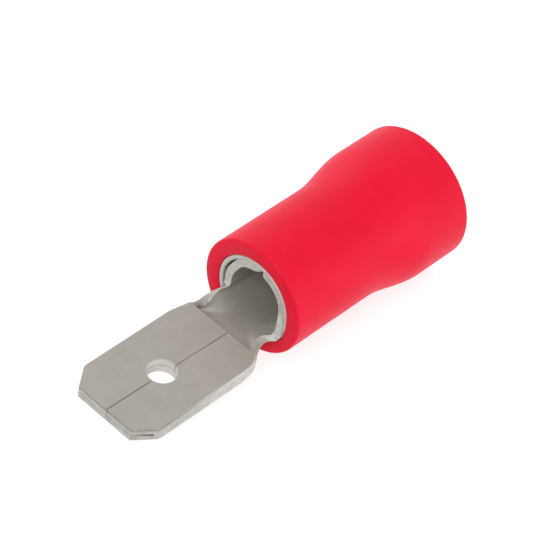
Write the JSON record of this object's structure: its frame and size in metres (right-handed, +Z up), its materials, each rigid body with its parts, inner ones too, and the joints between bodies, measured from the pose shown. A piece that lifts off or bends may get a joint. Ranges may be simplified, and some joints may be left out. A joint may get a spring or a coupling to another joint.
{
  "type": "male spade terminal",
  "caption": "Insulated male spade terminal: a flat folded tab with a small hole, a short neck and a rolled crimp barrel held in a red flared plastic sleeve.",
  "frame": {"origin": "under the middle of the part's length, on the plane of the flare's lowest point", "axes": "+X along the barrel towards the wire's entry, with the tab's tip at -X; +Z up, square to the tab's faces, on the side where the flaps meet"},
  "size_m": [0.0204, 0.007, 0.0069],
  "materials": {
    "tinned_brass": "dull tin plate",
    "tube_metal": "dull tin plate",
    "red_pvc": "satin"
  },
  "bodies": {
    "root": {"terminal": "tinned_brass", "support_tube": "tube_metal", "insulation_sleeve": "red_pvc"}
  },
  "joints": []
}
